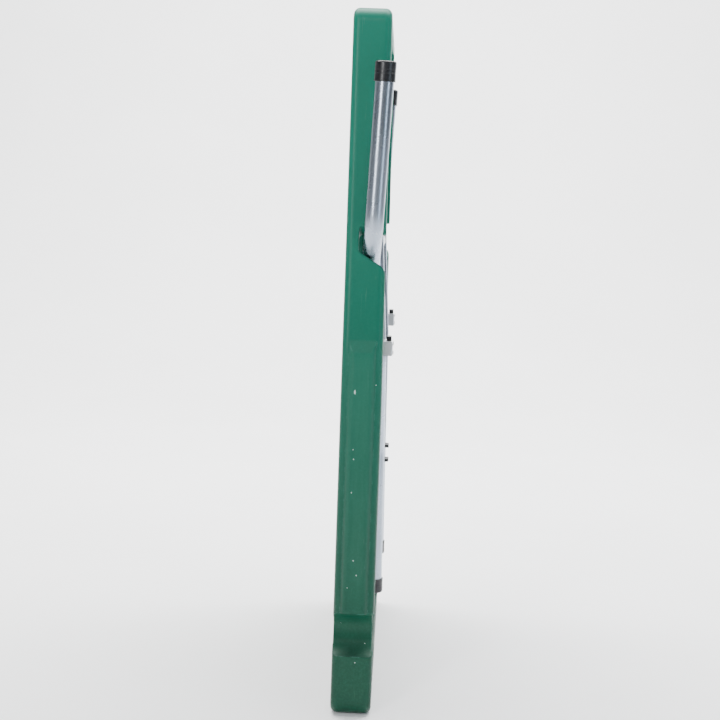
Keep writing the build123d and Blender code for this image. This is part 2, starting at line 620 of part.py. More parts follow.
def block_rivets():
    """Rivets through both crossing blocks, one solid each."""
    seat = outer_x(CROSSING_Z)
    made = []
    for side in SIDES.values():
        for z in (CROSSING_Z - BLOCK_HEIGHT / 2 + RIVET, CROSSING_Z + BLOCK_HEIGHT / 2 - RIVET):
            y = side * OUTER_Y
            shank = rod((seat + OUTER_TUBE / 2 + RIVET / 8, y, z), (BLOCK_TOP_X, y, z), RIVET / 2)
            head = rod((BLOCK_TOP_X, y, z), (BLOCK_TOP_X + RIVET_HEAD_HEIGHT, y, z), RIVET_HEAD / 2)
            head = fillet(head.edges().group_by(Axis.X)[-1], RIVET_HEAD_HEIGHT * 0.6)
            made.append(shank + head)
    return Compound(children=made)


def crossing_bumper():
    """Rubber bumper on the upper end of the left crossing block."""
    size_x, size_y, size_z = BUMPER_SIZE
    top_z = CROSSING_Z + BLOCK_HEIGHT / 2
    low_x = BLOCK_TOP_X - BLOCK_ROUND - size_x
    centre_y = OUTER_Y - BUMPER_SHIFT
    pad = block((low_x, centre_y - size_y / 2, top_z),
                (low_x + size_x, centre_y + size_y / 2, top_z + size_z))
    return fillet(pad.edges().group_by(Axis.Z)[-1], BUMPER_ROUND)


def slide_rail():
    """Left slide rail: C channel that opens outwards, with a screw flange on its inner side."""
    half = ROLLER / 2 + ROLLER_GAP
    outline = [(RIB_X, RAIL_WEB_Y - RAIL_FLANGE), (RIB_X + RAIL_SHEET, RAIL_WEB_Y - RAIL_FLANGE),
               (RIB_X + RAIL_SHEET, RAIL_WEB_Y), (PIVOT_X + half + RAIL_SHEET, RAIL_WEB_Y),
               (PIVOT_X + half + RAIL_SHEET, RAIL_MOUTH_Y), (PIVOT_X + half, RAIL_MOUTH_Y),
               (PIVOT_X + half, RAIL_WEB_Y + RAIL_SHEET), (PIVOT_X - half, RAIL_WEB_Y + RAIL_SHEET),
               (PIVOT_X - half, RAIL_MOUTH_Y), (PIVOT_X - half - RAIL_SHEET, RAIL_MOUTH_Y),
               (PIVOT_X - half - RAIL_SHEET, RAIL_WEB_Y + RAIL_SHEET), (RIB_X, RAIL_WEB_Y + RAIL_SHEET)]
    face = make_face(Polyline(*outline, close=True))
    rail = extrude(Pos(0, 0, RAIL_LOW) * face, RAIL_TOP - RAIL_LOW)
    own = [p for p in screw_places()["rail_screws"] if p[0] > 0]
    return with_screw_holes(rail, own)


def rail_stops():
    """Plugs at both ends of the left slide rail, one solid each."""
    half = ROLLER / 2 + ROLLER_GAP
    low_y, high_y = RAIL_WEB_Y + RAIL_SHEET, RAIL_MOUTH_Y + STOP_LIP
    upper = ROLLER_Z + ROLLER / 2 + STOP_GAP
    lower = ROLLER_Z - ROLLER_TRAVEL - ROLLER / 2 - STOP_GAP
    made = []
    for z_low, z_high in ((upper, RAIL_TOP + STOP_PROUD), (RAIL_LOW - STOP_PROUD, lower)):
        plug = block((PIVOT_X - half, low_y, z_low), (PIVOT_X + half, high_y, z_high))
        made.append(fillet(plug.edges().filter_by(Axis.Z), 1.0))
    return Compound(children=made)


def roller():
    """Left roller: nylon wheel with rounded edges and a counterbore for the axle's clip end."""
    high_y = ROLLER_Y + ROLLER_WIDTH
    wheel = bar_y(PIVOT_X, ROLLER_Z, ROLLER_Y, high_y, ROLLER / 2)
    for end in (0, -1):
        wheel = fillet(wheel.edges().group_by(Axis.Y)[end], ROLLER_EDGE)
    wheel = wheel - bar_y(PIVOT_X, ROLLER_Z, ROLLER_Y - CUT, high_y + CUT, ROLLER_AXLE / 2 + RUNNING_GAP)
    return wheel - bar_y(PIVOT_X, ROLLER_Z, ROLLER_Y - CUT, ROLLER_Y + AXLE_RECESS,
                         AXLE_HEAD / 2 + AXLE_CLIP_GAP)


def roller_axle():
    """Left roller axle: pin through the inner leg, headed outside and clipped in the roller."""
    outer = INNER_Y + INNER_TUBE / 2
    pin = bolt_y(PIVOT_X, ROLLER_Z, ROLLER_Y + AXLE_RECESS / 4, outer, ROLLER_AXLE, AXLE_HEAD)
    clip_from = ROLLER_Y + AXLE_RECESS / 2 - AXLE_CLIP_GAP
    clip = bar_y(PIVOT_X, ROLLER_Z, clip_from, ROLLER_Y + AXLE_RECESS - AXLE_CLIP_GAP, AXLE_HEAD / 2)
    return pin + clip


def leg_cradle():
    """Moulded cradle on the deck that the folded legs' foot tube nests in."""
    x = foot_x(FOOT_TUBE_Z)
    half_slot = FOOT_TUBE / 2 + CRADLE_GAP
    half_out = half_slot + CRADLE_PRONG
    half_y = CRADLE_WIDTH / 2
    tip_x = x + CRADLE_REACH
    foot = block((RIB_X, -half_y, FOOT_TUBE_Z - CRADLE_FOOT / 2),
                 (RIB_X + CRADLE_FOOT_HEIGHT, half_y, FOOT_TUBE_Z + CRADLE_FOOT / 2))
    foot = fillet(foot.edges().filter_by(Axis.X), CRADLE_CORNER)
    post = block((RIB_X, -half_y, FOOT_TUBE_Z - half_out), (tip_x, half_y, FOOT_TUBE_Z + half_out))
    post = fillet(post.edges().group_by(Axis.X)[-1], CRADLE_ROUND)
    slot = block((x, -half_y - CUT, FOOT_TUBE_Z - half_slot),
                 (tip_x + CUT, half_y + CUT, FOOT_TUBE_Z + half_slot))
    seat = bar_y(x, FOOT_TUBE_Z, -half_y - CUT, half_y + CUT, half_slot)
    return with_screw_holes(foot + post - slot - seat, screw_places()["cradle_screws"])


def build():
    """Every node of the table by name."""
    outer_solid = swept(outer_points(), OUTER_TUBE / 2)
    inner_solid = swept(inner_points(), INNER_TUBE / 2)
    pivot_hole = bar_y(PIVOT_X, PIVOT_Z, 0, 2 * OUTER_Y, PIVOT_BOLT / 2 + RUNNING_GAP)
    axle_hole = bar_y(PIVOT_X, ROLLER_Z, 0, 2 * INNER_Y, ROLLER_AXLE / 2)
    cheek_in = OUTER_Y - BRACKET_NEAR - BRACKET_SHEET
    inner_face = INNER_Y - INNER_TUBE / 2
    nut_face = inner_face - CROSSING_NUT_GAP
    halves = {
        "outer_leg": outer_leg(), "inner_leg": inner_leg(),
        "outer_foot_cap": end_cap(outer_points(), OUTER_TUBE, OUTER_CAP_WALL, OUTER_CAP_LENGTH),
        "inner_foot_cap": end_cap(inner_points(), INNER_TUBE, INNER_CAP_WALL, INNER_CAP_LENGTH),
        "outer_end_plug": end_plug(*outer_points()[:2], OUTER_TUBE, OUTER_WALL, pivot_hole),
        "inner_end_plug": end_plug(*inner_points()[:2], INNER_TUBE, INNER_WALL, axle_hole),
        "hinge_bracket": with_screw_holes(
            hinge_bracket(), [p for p in screw_places()["bracket_screws"] if p[0] > 0]),
        "pivot_bolt": bolt_y(PIVOT_X, PIVOT_Z, cheek_in - PIVOT_THREAD,
                             OUTER_Y + BRACKET_NEAR + BRACKET_SHEET, PIVOT_BOLT, PIVOT_HEAD),
        "pivot_nut": hex_nut(PIVOT_X, PIVOT_Z, cheek_in - PIVOT_NUT_HEIGHT, cheek_in, PIVOT_NUT,
                             PIVOT_BOLT / 2),
        "crossing_block": crossing_block(), "crossing_bumper": crossing_bumper(),
        "crossing_bolt": bolt_y(CROSSING_X, CROSSING_Z, inner_face - CROSSING_THREAD, BLOCK_OUT_Y,
                                CROSSING_BOLT, CROSSING_HEAD),
        "crossing_nut": hex_nut(CROSSING_X, CROSSING_Z, nut_face - CROSSING_NUT_HEIGHT, nut_face,
                                CROSSING_HEAD, CROSSING_BOLT / 2),
        "crossing_washer": tube_y(CROSSING_X, CROSSING_Z, BLOCK_IN_Y - BLOCK_WASHER + WASHER_GAP,
                                  BLOCK_IN_Y, BLOCK_WASHER_SIZE,
                                  (BLOCK_WASHER_SIZE - CROSSING_BOLT) / 2 - RUNNING_GAP),
        "slide_rail": slide_rail(), "rail_stops": rail_stops(),
        "roller": roller(), "roller_axle": roller_axle(),
    }
    nodes = {"table_top": table_top()}
    for name, shape in halves.items():
        for side_name, side in SIDES.items():
            nodes[f"{name}_{side_name}"] = mirrored(shape, side)
    pivot_tube_x = outer_x(PIVOT_TUBE_Z)
    nodes["outer_pivot_tube"] = cross_tube(pivot_tube_x, PIVOT_TUBE_Z, OUTER_Y, PIVOT_TUBE, outer_solid)
    brace_x = outer_x(BRACE_TUBE_Z) - BRACE_TUBE_SINK
    nodes["outer_brace"] = cross_tube(brace_x, BRACE_TUBE_Z, OUTER_Y, BRACE_TUBE, outer_solid)
    nodes["inner_top_tube"] = cross_tube(inner_x(TOP_TUBE_Z), TOP_TUBE_Z, INNER_Y, TOP_TUBE, inner_solid)
    nodes["inner_foot_tube"] = cross_tube(foot_x(FOOT_TUBE_Z), FOOT_TUBE_Z, FOOT_Y, FOOT_TUBE, inner_solid)
    nodes["leg_cradle"] = leg_cradle()
    nodes["block_rivets"] = block_rivets()
    for name, places in screw_places().items():
        nodes[name] = screws(places)
    return nodes


os.makedirs("parts", exist_ok=True)
for node_name, node_shape in build().items():
    export_step(node_shape, f"parts/{node_name}.step")
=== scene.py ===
import json
import math

import bpy
import numpy as np
from mathutils import Matrix, Vector


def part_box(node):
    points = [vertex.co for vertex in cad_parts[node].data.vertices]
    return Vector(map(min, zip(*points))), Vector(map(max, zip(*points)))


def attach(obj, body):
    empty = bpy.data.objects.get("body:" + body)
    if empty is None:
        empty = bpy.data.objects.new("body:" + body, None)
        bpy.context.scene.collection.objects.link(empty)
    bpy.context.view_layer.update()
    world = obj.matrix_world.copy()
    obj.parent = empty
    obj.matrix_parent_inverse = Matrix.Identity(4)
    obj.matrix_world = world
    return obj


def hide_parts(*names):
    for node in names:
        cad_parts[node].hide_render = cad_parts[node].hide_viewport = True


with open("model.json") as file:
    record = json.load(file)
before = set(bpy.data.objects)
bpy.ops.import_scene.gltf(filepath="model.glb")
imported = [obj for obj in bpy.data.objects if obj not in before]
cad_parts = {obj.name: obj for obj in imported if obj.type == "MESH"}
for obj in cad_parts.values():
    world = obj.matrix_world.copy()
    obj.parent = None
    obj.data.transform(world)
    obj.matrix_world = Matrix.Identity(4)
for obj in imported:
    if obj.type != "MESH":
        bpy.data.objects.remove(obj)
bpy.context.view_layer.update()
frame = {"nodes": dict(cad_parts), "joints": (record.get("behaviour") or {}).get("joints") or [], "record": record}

# Metres throughout, in the table's own frame: the playing face looks towards -X, the
# folded legs lie on the +X side, Y runs across the width and Z up along the length.

# ---------------------------------------------------------------- places taken from the frame
DECK_LOW, DECK_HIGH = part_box("table_top")
FACE_X = DECK_LOW.x
DECK_LENGTH = DECK_HIGH.z
SIDES = {"left": 1.0, "right": -1.0}
JOINT_PLACES = {joint["name"]: joint["pos_m"] for joint in frame["joints"]}
PIVOT = JOINT_PLACES["outer_fold"][0::2]          # X and Z of the outer legs' hinge
CROSSING = JOINT_PLACES["inner_fold"][0::2]       # X and Z of the crossing bolts
ROLLER_Z = JOINT_PLACES["roller_left_spin"][2]

# ---------------------------------------------------------------- tubes, by their centre lines
OUTER_RADIUS, INNER_RADIUS = 0.0175, 0.015
PIVOT_TUBE_RADIUS, BRACE_RADIUS = 0.0125, 0.011
BEND = 0.076
OUTER_Y, INNER_Y, FOOT_Y = 0.283, 0.239, 0.150
OUTER_STEP = ((0.0055, OUTER_Y, 0.851), (0.013, 0.388, 0.956))
OUTER_END = (0.025, 0.406, 1.264)
SLANT_TOP, SLANT_END_X, SLANT_END_Z = 0.691, 0.0323, 0.494
INNER_END = (0.037, FOOT_Y, 0.1895)
OUTER_TAIL, INNER_TAIL = 0.012, 0.014             # tube past the hinge, and past the roller's axle
OUTER_LEAN = (OUTER_STEP[0][0] - PIVOT[0]) / (OUTER_STEP[0][2] - PIVOT[1])
INNER_LEAN = (CROSSING[0] - PIVOT[0]) / (CROSSING[1] - PIVOT[1])
FOOT_LEAN = (SLANT_END_X - INNER_END[0]) / (SLANT_END_Z - INNER_END[2])

# ---------------------------------------------------------------- foot caps, rollers and weld beads
OUTER_CAP_WALL, OUTER_CAP_LENGTH = 0.0025, 0.038
INNER_CAP_WALL, INNER_CAP_LENGTH = 0.0020, 0.030
CAP_BASE = 0.003
CAP_ROUND = 0.0042
CAP_LIP = 0.0012
CAP_GROOVES = (0.45, 0.62)                        # places of the two grip grooves along a cap
WHEEL_BORE = 0.0041
WHEEL_ROUND = 0.0012
WHEEL_CROWN = 0.0003
BEAD_RADIUS = 0.0021

# ---------------------------------------------------------------- court markings on the face
PLAYING_HALF = 0.362
EDGE_LINE = 0.012
CENTRE_LINE = 0.003
LINE_INSET = 0.016
PAINT_FADE = 0.0006

# ---------------------------------------------------------------- wear, which fades between each pair
PAD_WALL_Y = (0.374, 0.379)
PAD_LOW_Z, PAD_HIGH_Z = (0.21, 0.30), (0.69, 0.735)
CHIPPED_WALL_Y = (-0.34, -0.33)

# ---------------------------------------------------------------- camera, with its turns in degrees
CAMERA_PLACE = (0.0622, -2.95, 1.050)
CAMERA_YAW = 1.54
CAMERA_PITCH = 6.03
CAMERA_ROLL = 2.01
CAMERA_LENS = 68.2
CAMERA_SHIFT = -0.0517


# ================================================================ node helpers
class Wires:
    """Short ways to add and join nodes in one node tree."""

    def __init__(self, tree):
        self.tree = tree

    def add(self, kind, **settings):
        """Makes a node with its own settings."""
        node = self.tree.nodes.new(kind)
        for key, value in settings.items():
            setattr(node, key, value)
        return node

    def join(self, start, end):
        """A wire from an output to an input."""
        self.tree.links.new(start, end)

    def feed(self, node, place, value):
        """Sets an input to a number, or joins an output to it."""
        target = node.inputs[place]
        if isinstance(value, bpy.types.NodeSocket):
            self.join(value, target)
        else:
            target.default_value = value

    def math(self, operation, a, b=0.0, clamp=False):
        """One sum on two numbers or outputs."""
        node = self.add("ShaderNodeMath", operation=operation, use_clamp=clamp)
        self.feed(node, 0, a)
        self.feed(node, 1, b)
        return node.outputs[0]

    def mix(self, factor, a, b):
        """Colour a where the factor is 0, and b where it is 1."""
        node = self.add("ShaderNodeMix", data_type="RGBA")
        self.feed(node, 0, factor)
        self.feed(node, 6, a)
        self.feed(node, 7, b)
        return node.outputs[2]

    def ramp(self, value, low, high, start=0.0, end=1.0):
        """Maps low..high smoothly to start..end."""
        node = self.add("ShaderNodeMapRange", interpolation_type="SMOOTHSTEP")
        for place, number in enumerate((value, low, high, start, end)):
            self.feed(node, place, number)
        return node.outputs[0]

    def noise(self, where, scale, detail=3.0, rough=0.55, distort=0.0):
        """Cloudy noise about 0.5, with scale lumps to the metre."""
        node = self.add("ShaderNodeTexNoise")
        self.join(where, node.inputs["Vector"])
        self.feed(node, "Scale", scale)
        node.inputs["Detail"].default_value = detail
        node.inputs["Roughness"].default_value = rough
        node.inputs["Distortion"].default_value = distort
        return node.outputs["Fac"]

    def stretched(self, where, scale, turn=(0.0, 0.0, 0.0)):
        """A place scaled axis by axis, which draws a pattern out where the scale is small."""
        node = self.add("ShaderNodeMapping")
        self.join(where, node.inputs["Vector"])
        node.inputs["Scale"].default_value = scale
        node.inputs["Rotation"].default_value = turn
        return node.outputs["Vector"]

    def split(self, vector):
        """The X, Y and Z of a place or a normal."""
        node = self.add("ShaderNodeSeparateXYZ")
        self.join(vector, node.inputs[0])
        return node.outputs

    def place(self):
        """Where a point is in the table's own frame."""
        return self.add("ShaderNodeTexCoord").outputs["Object"]


def new_group(name, inputs, outputs):
    """An empty shader group with its named number sockets; returns the group, its wires and both ends."""
    group = bpy.data.node_groups.new(name, "ShaderNodeTree")
    for label, default in inputs.items():
        made = group.interface.new_socket(name=label, in_out="INPUT", socket_type="NodeSocketFloat")
        made.default_value = default
    for label in outputs:
        group.interface.new_socket(name=label, in_out="OUTPUT", socket_type="NodeSocketFloat")
    wires = Wires(group)
    return group, wires, wires.add("NodeGroupInput").outputs, wires.add("NodeGroupOutput").inputs


# ================================================================ shared effects
def edge_wear_group():
    """Mask that is 1 on rubbed edges: where a rounded normal leaves the true one, broken by noise."""
    group, w, given, result = new_group(
        "rubbed_edges", {"Width": 0.002, "Amount": 0.5, "Breakup": 60.0}, ["Mask"])
    rounded = w.add("ShaderNodeBevel", samples=4)
    w.join(given["Width"], rounded.inputs["Radius"])
    true = w.add("ShaderNodeNewGeometry").outputs["Normal"]
    dot = w.add("ShaderNodeVectorMath", operation="DOT_PRODUCT")
    w.join(rounded.outputs[0], dot.inputs[0])
    w.join(true, dot.inputs[1])
    edge = w.ramp(w.math("SUBTRACT", 1.0, dot.outputs["Value"]), 0.01, 0.16)
    patchy = w.ramp(w.noise(w.place(), given["Breakup"], 4.0, 0.5), 0.42, 0.62)
    w.join(w.math("MULTIPLY", w.math("MULTIPLY", edge, patchy), given["Amount"]), result["Mask"])
    return group


def moulded_grain_group():
    """Fine pebbled grain of moulded plastic: a height, and a speckle that changes the gloss a little."""
    group, w, given, result = new_group(
        "moulded_grain", {"Pebble Scale": 900.0}, ["Height", "Speckle"])
    cells = w.add("ShaderNodeTexVoronoi", feature="SMOOTH_F1")
    w.join(w.place(), cells.inputs["Vector"])
    w.join(given["Pebble Scale"], cells.inputs["Scale"])
    cells.inputs["Smoothness"].default_value = 0.6
    fine = w.noise(w.place(), given["Pebble Scale"], 3.0, 0.5)
    height = w.math("ADD", w.math("MULTIPLY", cells.outputs["Distance"], 0.7), w.math("MULTIPLY", fine, 0.5))
    w.join(height, result["Height"])
    w.join(w.noise(w.place(), 240.0, 4.0, 0.6), result["Speckle"])
    return group


def chips_and_scuffs_group():
    """Pale chips and short dragged scuffs: thresholded cells, and noise stretched up the length."""
    group, w, given, result = new_group(
        "chips_and_scuffs", {"Chips": 0.5, "Scuffs": 0.5}, ["Chip Mask", "Scuff Mask"])
    where = w.place()
    cells = w.add("ShaderNodeTexVoronoi", feature="F1")
    w.join(where, cells.inputs["Vector"])
    cells.inputs["Scale"].default_value = 34.0
    spread = w.noise(where, 7.0, 2.0)
    ragged = w.noise(where, 420.0, 2.0)
    size = w.math("ADD", w.math("MULTIPLY", w.ramp(spread, 0.45, 0.72), 0.075),
                  w.math("MULTIPLY", ragged, 0.03))
    near = w.math("SUBTRACT", w.math("SUBTRACT", size, 0.028), cells.outputs["Distance"])
    chip = w.ramp(near, 0.0, 0.012)
    w.join(w.math("MULTIPLY", chip, given["Chips"]), result["Chip Mask"])
    dragged = w.noise(w.stretched(where, (1.0, 1.0, 0.09)), 130.0, 5.0, 0.65, 0.4)
    patches = w.ramp(w.noise(where, 5.0, 3.0), 0.48, 0.70)
    scuff = w.math("MULTIPLY", w.ramp(dragged, 0.60, 0.74), patches)
    w.join(w.math("MULTIPLY", scuff, given["Scuffs"]), result["Scuff Mask"])
    return group


def settled_dust_group():
    """Dust that settles on faces that look up, thicker in slow patches."""
    group, w, given, result = new_group("settled_dust", {"Amount": 0.3}, ["Mask"])
    up = w.ramp(w.split(w.add("ShaderNodeNewGeometry").outputs["Normal"])["Z"], 0.35, 0.95)
    patches = w.ramp(w.noise(w.place(), 18.0, 4.0), 0.3, 0.7, 0.3, 1.0)
    w.join(w.math("MULTIPLY", w.math("MULTIPLY", up, patches), given["Amount"]), result["Mask"])
    return group


def drawn_lines_group():
    """Faint drawing lines along a metal part: noise stretched far along Z, with rare deeper scratches."""
    group, w, given, result = new_group(
        "drawn_lines", {"Fineness": 900.0, "Scratches": 0.5}, ["Lines", "Scratch Mask", "Cloud"])
    where = w.place()
    long_way = w.stretched(where, (1.0, 1.0, 0.012))
    w.join(w.noise(long_way, given["Fineness"], 4.0, 0.5), result["Lines"])
    scratch = w.noise(w.stretched(where, (1.0, 1.0, 0.05), (0.25, 0.1, 0.0)), 210.0, 5.0, 0.7, 0.8)
    w.join(w.math("MULTIPLY", w.ramp(scratch, 0.64, 0.72), given["Scratches"]), result["Scratch Mask"])
    w.join(w.noise(where, 14.0, 4.0, 0.6), result["Cloud"])
    return group


EFFECTS = {
    "rubbed_edges": edge_wear_group(),
    "moulded_grain": moulded_grain_group(),
    "chips_and_scuffs": chips_and_scuffs_group(),
    "settled_dust": settled_dust_group(),
    "drawn_lines": drawn_lines_group(),
}


def place_group(wires, name, **values):
    """Puts a shared effect into a material with its own values."""
    node = wires.add("ShaderNodeGroup")
    node.node_tree = EFFECTS[name]
    for key, value in values.items():
        wires.feed(node, key.replace("_", " ").title(), value)
    return node.outputs


def new_material(name):
    """An empty material with a Principled shader; returns the material, its wires and the shader."""
    material = bpy.data.materials.new(name)
    material.use_nodes = True
    material.node_tree.nodes.clear()
    wires = Wires(material.node_tree)
    shader = wires.add("ShaderNodeBsdfPrincipled")
    output = wires.add("ShaderNodeOutputMaterial")
    wires.join(shader.outputs[0], output.inputs[0])
    return material, wires, shader


def bump(wires, shader, height, strength, distance, soften=0.0):
    """Bump from a height, into the shader's normal, over edges that shade as if rounded by soften."""
    node = wires.add("ShaderNodeBump")
    if soften:
        rounded = wires.add("ShaderNodeBevel", samples=6)
        rounded.inputs["Radius"].default_value = soften
        wires.join(rounded.outputs[0], node.inputs["Normal"])
    node.inputs["Strength"].default_value = strength
    node.inputs["Distance"].default_value = distance
    wires.join(height, node.inputs["Height"])
    wires.join(node.outputs[0], shader.inputs["Normal"])


# ================================================================ materials
def court_line_mask(w, where):
    """1 on the painted lines of the playing face: a border, and a thin line down the middle."""
    x, y, z = w.split(where)
    across = w.math("ABSOLUTE", y)
    along = w.math("ABSOLUTE", w.math("SUBTRACT", z, DECK_LENGTH / 2))
    half_width = PLAYING_HALF - LINE_INSET
    half_length = DECK_LENGTH / 2 - LINE_INSET

    def beyond(value, edge, fade=PAINT_FADE):
        return w.ramp(value, edge - fade, edge + fade)

    def within(value, edge, fade=PAINT_FADE):
        return w.ramp(value, edge - fade, edge + fade, 1.0, 0.0)

    def border(value, edge):
        return w.math("MULTIPLY", beyond(value, edge - EDGE_LINE), within(value, edge))

    sides = w.math("MULTIPLY", border(across, half_width), within(along, half_length))
    ends = w.math("MULTIPLY", border(along, half_length), within(across, half_width))
    middle = w.math("MULTIPLY", within(across, CENTRE_LINE / 2, PAINT_FADE / 2), within(along, half_length))
    lines = w.math("MAXIMUM", w.math("MAXIMUM", sides, ends), middle)
    on_face = w.ramp(x, FACE_X + 0.0004, FACE_X + 0.0012, 1.0, 0.0)
    worn = w.ramp(w.noise(where, 300.0, 4.0, 0.7), 0.26, 0.36)
    return w.math("MULTIPLY", w.math("MULTIPLY", lines, on_face), worn)


# Each chip's X, Z, radius and how far it is drawn out along Z.
CHIPS = ((-0.012, 0.645, 0.0019, 2.6), (0.028, 0.659, 0.0011, 1.2), (-0.012, 0.534, 0.0010, 1.3),
         (-0.010, 0.515, 0.0010, 1.0), (-0.004, 0.316, 0.0014, 0.8), (0.003, 0.287, 0.0011, 1.3),
         (-0.014, 0.262, 0.0008, 1.0), (0.006, 0.110, 0.0010, 1.0), (-0.012, 0.450, 0.0008, 1.8))


def single_chips_mask(w, where):
    """1 in small ragged chips on the right-hand wall."""
    ragged = w.math("MULTIPLY", w.math("SUBTRACT", w.noise(where, 900.0, 3.0), 0.5), 0.0042)
    x, y, z = w.split(where)
    total = 0.0
    for chip_x, chip_z, radius, stretch in CHIPS:
        dx = w.math("SUBTRACT", x, chip_x)
        dz = w.math("DIVIDE", w.math("SUBTRACT", z, chip_z), stretch)
        away = w.math("SQRT", w.math("ADD", w.math("MULTIPLY", dx, dx), w.math("MULTIPLY", dz, dz)))
        chip = w.ramp(w.math("ADD", away, ragged), radius * 0.6, radius, 1.0, 0.0)
        total = w.math("MAXIMUM", total, chip)
    return w.math("MULTIPLY", total, w.ramp(y, *CHIPPED_WALL_Y, 1.0, 0.0))


def pad_rub_mask(w, where):
    """Soft rubbed zone on the raised pads, fading out towards their long edges and ends."""
    parts = w.split(where)
    outer = w.ramp(w.math("ABSOLUTE", parts["Y"]), *PAD_WALL_Y)
    along = w.math("MULTIPLY", w.ramp(parts["Z"], *PAD_LOW_Z), w.ramp(parts["Z"], *PAD_HIGH_Z, 1.0, 0.0))
    streaks = w.ramp(w.noise(w.stretched(where, (1.0, 1.0, 0.08)), 90.0, 5.0, 0.6), 0.32, 0.68, 0.45, 1.0)
    return w.math("MULTIPLY", w.math("MULTIPLY", outer, along), streaks)


def green_deck_material():
    """Satin green moulded plastic: grain, painted shade that darkens it towards the bottom end and lightens it
    towards the top, chips, scuffs and lines.
    """
    material, w, shader = new_material("green_moulded_deck")
    where = w.place()
    # Painted shade: the base colour runs from dark green at the bottom end to lighter, bluer green at the top end,
    # standing in for how the light falls along the length.
    height = w.ramp(w.split(where)["Z"], 0.0, DECK_LENGTH)
    base = w.mix(height, (0.0010, 0.038, 0.019, 1), (0.0080, 0.150, 0.100, 1))
    cloud = w.ramp(w.noise(where, 3.2, 5.0, 0.55), 0.30, 0.72)
    base = w.mix(w.math("MULTIPLY", cloud, 0.16), base, (0.005, 0.100, 0.058, 1))
    grain = place_group(w, "moulded_grain", pebble_scale=1100.0)
    base = w.mix(w.math("MULTIPLY", w.ramp(grain["Speckle"], 0.35, 0.75), 0.08), base,
                 (0.030, 0.17, 0.120, 1))
    marks = place_group(w, "chips_and_scuffs", chips=0.9, scuffs=0.35)
    edges = place_group(w, "rubbed_edges", width=0.004, amount=0.35, breakup=55.0)
    dust = place_group(w, "settled_dust", amount=0.10)
    base = w.mix(w.math("MULTIPLY", pad_rub_mask(w, where), 0.20), base, (0.035, 0.14, 0.095, 1))
    base = w.mix(marks["Scuff Mask"], base, (0.12, 0.26, 0.20, 1))
    base = w.mix(edges["Mask"], base, (0.10, 0.27, 0.22, 1))
    base = w.mix(dust["Mask"], base, (0.25, 0.30, 0.27, 1))
    chips = w.math("MAXIMUM", marks["Chip Mask"], single_chips_mask(w, where))
    base = w.mix(chips, base, (0.50, 0.62, 0.56, 1))
    lines = court_line_mask(w, where)
    base = w.mix(lines, base, (0.80, 0.82, 0.80, 1))
    w.join(base, shader.inputs["Base Color"])
    gloss = w.ramp(cloud, 0.0, 1.0, 0.36, 0.46)
    gloss = w.math("ADD", gloss, w.math("MULTIPLY", marks["Scuff Mask"], 0.25))
    gloss = w.math("ADD", gloss, w.math("MULTIPLY", dust["Mask"], 0.5), clamp=True)
    w.join(gloss, shader.inputs["Roughness"])
    shader.inputs["Specular IOR Level"].default_value = 0.17
    shader.inputs["Coat Weight"].default_value = 0.05
    shader.inputs["Coat Roughness"].default_value = 0.16
    relief = w.math("ADD", grain["Height"], w.math("MULTIPLY", marks["Chip Mask"], -1.5))
    relief = w.math("ADD", relief, w.math("MULTIPLY", lines, 0.8))
    bump(w, shader, relief, 0.30, 0.00025, soften=0.005)
    return material


def metal_material(name, colour, dark, rough_low, rough_high, fineness=900.0, scratches=0.5, streaks=0.3):
    """Metal with drawing lines, cloudy gloss, small scratches and darkened patches."""
    material, w, shader = new_material(name)
    lines = place_group(w, "drawn_lines", fineness=fineness, scratches=scratches)
    edges = place_group(w, "rubbed_edges", width=0.0008, amount=0.4, breakup=160.0)
    tone = w.math("MULTIPLY", w.ramp(lines["Lines"], 0.3, 0.7), streaks)
    base = w.mix(tone, (*colour, 1), (*dark, 1))
    base = w.mix(w.math("MULTIPLY", w.ramp(lines["Cloud"], 0.45, 0.75), 0.18), base, (*dark, 1))
    base = w.mix(lines["Scratch Mask"], base, (0.86, 0.88, 0.90, 1))
    base = w.mix(edges["Mask"], base, (0.88, 0.89, 0.90, 1))
    w.join(base, shader.inputs["Base Color"])
    rough = w.ramp(lines["Cloud"], 0.3, 0.7, rough_low, rough_high)
    rough = w.math("ADD", rough, w.math("MULTIPLY", lines["Scratch Mask"], 0.12), clamp=True)
    w.join(rough, shader.inputs["Roughness"])
    shader.inputs["Metallic"].default_value = 1.0
    relief = w.math("ADD", lines["Lines"], w.math("MULTIPLY", lines["Scratch Mask"], -1.2))
    bump(w, shader, relief, 0.18, 0.00012)
    return material


def rubber_material(name, colour, rough, pebble=1400.0):
    """Dark moulded rubber or plastic: fine grain, paler rubbed edges, dust on top."""
    material, w, shader = new_material(name)
    grain = place_group(w, "moulded_grain", pebble_scale=pebble)
    edges = place_group(w, "rubbed_edges", width=0.0010, amount=0.12, breakup=120.0)
    dust = place_group(w, "settled_dust", amount=0.06)
    marks = place_group(w, "chips_and_scuffs", chips=0.05, scuffs=0.08)
    pale = tuple(2.5 * c + 0.008 for c in colour)
    base = w.mix(w.math("MULTIPLY", grain["Speckle"], 0.25), (*colour, 1), (*pale, 1))
    base = w.mix(edges["Mask"], base, (0.09, 0.095, 0.10, 1))
    base = w.mix(marks["Scuff Mask"], base, (0.07, 0.072, 0.075, 1))
    base = w.mix(dust["Mask"], base, (0.20, 0.20, 0.19, 1))
    w.join(base, shader.inputs["Base Color"])
    gloss = w.ramp(grain["Speckle"], 0.3, 0.7, rough - 0.07, rough + 0.07)
    w.join(w.math("ADD", gloss, w.math("MULTIPLY", edges["Mask"], 0.15), clamp=True),
           shader.inputs["Roughness"])
    bump(w, shader, grain["Height"], 0.10, 0.0001, soften=0.0006)
    return material


